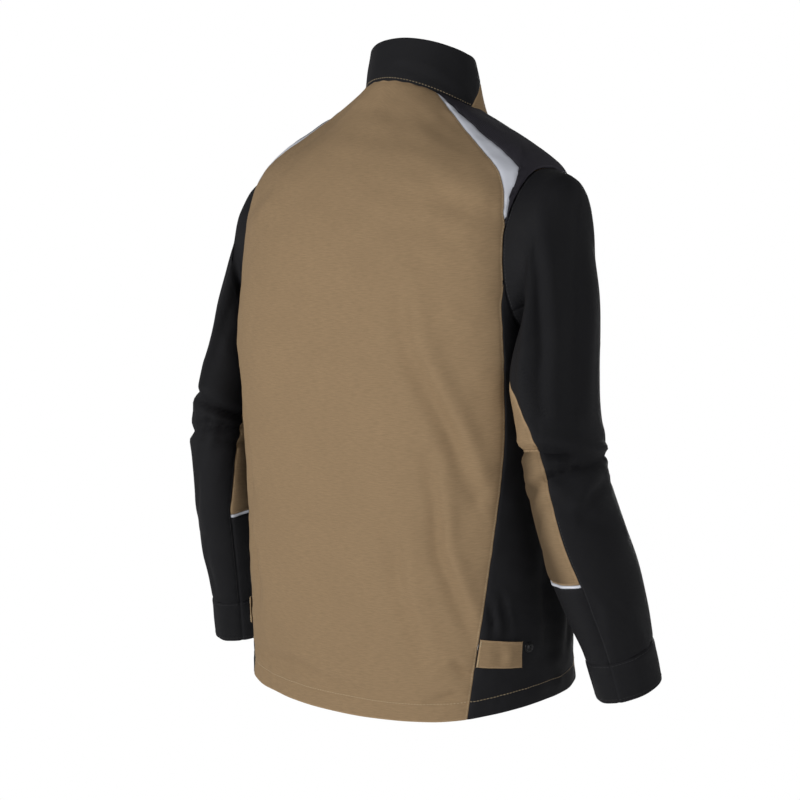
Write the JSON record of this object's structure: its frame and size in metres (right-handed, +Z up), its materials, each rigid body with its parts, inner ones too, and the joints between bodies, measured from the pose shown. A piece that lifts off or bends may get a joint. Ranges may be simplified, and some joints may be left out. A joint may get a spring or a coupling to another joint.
{
  "type": "welding jacket",
  "caption": "Long-sleeved work jacket with stand collar, covered front zip, contrast panels, chest and hand pockets, waist tabs and reflective shoulder wedges.",
  "frame": {"origin": "middle of the neck opening at the height of the nape seam", "axes": "+Z up along the wearer's spine, -Y out of the chest, -X towards the wearer's right hand"},
  "size_m": [0.6651, 0.2903, 0.7845],
  "materials": {
    "brown_twill": "matt woven twill",
    "black_twill": "matt woven twill",
    "dark_yoke_twill": "matt, dotted weave",
    "reflective_tape": "satin silver reflective",
    "zip_metal": "dull metal",
    "stud_metal": "black enamel"
  },
  "bodies": {
    "jacket_body": {"back_panel": "brown_twill", "collar_back": "black_twill", "zip_stop": "zip_metal", "flap_root": "brown_twill", "hanger_loop": "black_twill", "side_panel_right": "black_twill", "front_panel_right": "brown_twill", "shoulder_yoke_right": "dark_yoke_twill", "reflective_wedge_right": "reflective_tape", "collar_front_right": "brown_twill", "zip_teeth_right": "zip_metal", "zip_tape_right": "black_twill", "chest_pocket_right": "brown_twill", "hand_pocket_welt_right": "black_twill", "waist_stud_right": "stud_metal", "sleeve_cap_right": "black_twill", "underarm_fold_right": "black_twill", "side_panel_left": "black_twill", "front_panel_left": "brown_twill", "shoulder_yoke_left": "dark_yoke_twill", "reflective_wedge_left": "reflective_tape", "collar_front_left": "brown_twill", "zip_teeth_left": "zip_metal", "zip_tape_left": "black_twill", "chest_pocket_left": "brown_twill", "hand_pocket_welt_left": "black_twill", "waist_stud_left": "stud_metal", "sleeve_cap_left": "black_twill", "underarm_fold_left": "black_twill"},
    "storm_flap": {"storm_flap": "brown_twill"},
    "zip_slider": {"zip_slider": "zip_metal"},
    "zip_pull": {"zip_pull": "zip_metal"},
    "chest_flap_right": {"chest_flap_right": "brown_twill"},
    "waist_tab_right": {"waist_tab_right": "brown_twill"},
    "sleeve_right": {"upper_sleeve_right": "black_twill", "sleeve_inlay_right": "brown_twill", "elbow_fold_right": "black_twill"},
    "forearm_right": {"elbow_patch_right": "brown_twill", "sleeve_piping_right": "reflective_tape", "forearm_sleeve_right": "black_twill", "forearm_under_right": "black_twill", "cuff_right": "black_twill"},
    "chest_flap_left": {"chest_flap_left": "brown_twill"},
    "waist_tab_left": {"waist_tab_left": "brown_twill"},
    "sleeve_left": {"upper_sleeve_left": "black_twill", "sleeve_inlay_left": "brown_twill", "elbow_fold_left": "black_twill"},
    "forearm_left": {"elbow_patch_left": "brown_twill", "sleeve_piping_left": "reflective_tape", "forearm_sleeve_left": "black_twill", "forearm_under_left": "black_twill", "cuff_left": "black_twill"}
  },
  "joints": [
    {"name": "storm_flap_hinge", "type": "hinge", "parent": "jacket_body", "child": "storm_flap", "pos_m": [0.03, -0.10462, -0.377], "axis": [0, 0.0372, 0.9993], "range_deg": [0, 140]},
    {"name": "zip_slide", "type": "slide", "parent": "jacket_body", "child": "zip_slider", "axis": [0, -0.0372, -0.9993], "range_m": [0, 0.62]},
    {"name": "zip_pull_flip", "type": "hinge", "parent": "zip_slider", "child": "zip_pull", "pos_m": [0, -0.08472, -0.029], "axis": [-1, 0, 0], "range_deg": [0, 150]},
    {"name": "chest_flap_right_lift", "type": "hinge", "parent": "jacket_body", "child": "chest_flap_right", "pos_m": [-0.14635, -0.08137, -0.24339], "axis": [-0.961, 0.2766, 0], "range_deg": [0, 120]},
    {"name": "waist_tab_right_open", "type": "hinge", "parent": "jacket_body", "child": "waist_tab_right", "pos_m": [-0.18195, 0.12222, -0.65089], "axis": [0, 0, -1], "range_deg": [0, 100]},
    {"name": "sleeve_right_swing", "type": "hinge", "parent": "jacket_body", "child": "sleeve_right", "pos_m": [-0.249, 0.062, -0.335], "axis": [-1, 0, 0], "range_deg": [-15, 35], "deforming": ["underarm_fold_right"]},
    {"name": "elbow_right_bend", "type": "hinge", "parent": "sleeve_right", "child": "forearm_right", "pos_m": [-0.265, 0.134, -0.428], "axis": [-1, 0, 0], "range_deg": [0, 38], "deforming": ["elbow_fold_right"]},
    {"name": "chest_flap_left_lift", "type": "hinge", "parent": "jacket_body", "child": "chest_flap_left", "pos_m": [0.14635, -0.08137, -0.24339], "axis": [-0.961, -0.2766, 0], "range_deg": [0, 120]},
    {"name": "waist_tab_left_open", "type": "hinge", "parent": "jacket_body", "child": "waist_tab_left", "pos_m": [0.18195, 0.12222, -0.65089], "axis": [0, 0, 1], "range_deg": [0, 100]},
    {"name": "sleeve_left_swing", "type": "hinge", "parent": "jacket_body", "child": "sleeve_left", "pos_m": [0.249, 0.062, -0.335], "axis": [-1, 0, 0], "range_deg": [-15, 35], "deforming": ["underarm_fold_left"]},
    {"name": "elbow_left_bend", "type": "hinge", "parent": "sleeve_left", "child": "forearm_left", "pos_m": [0.265, 0.134, -0.428], "axis": [-1, 0, 0], "range_deg": [0, 38], "deforming": ["elbow_fold_left"]}
  ]
}
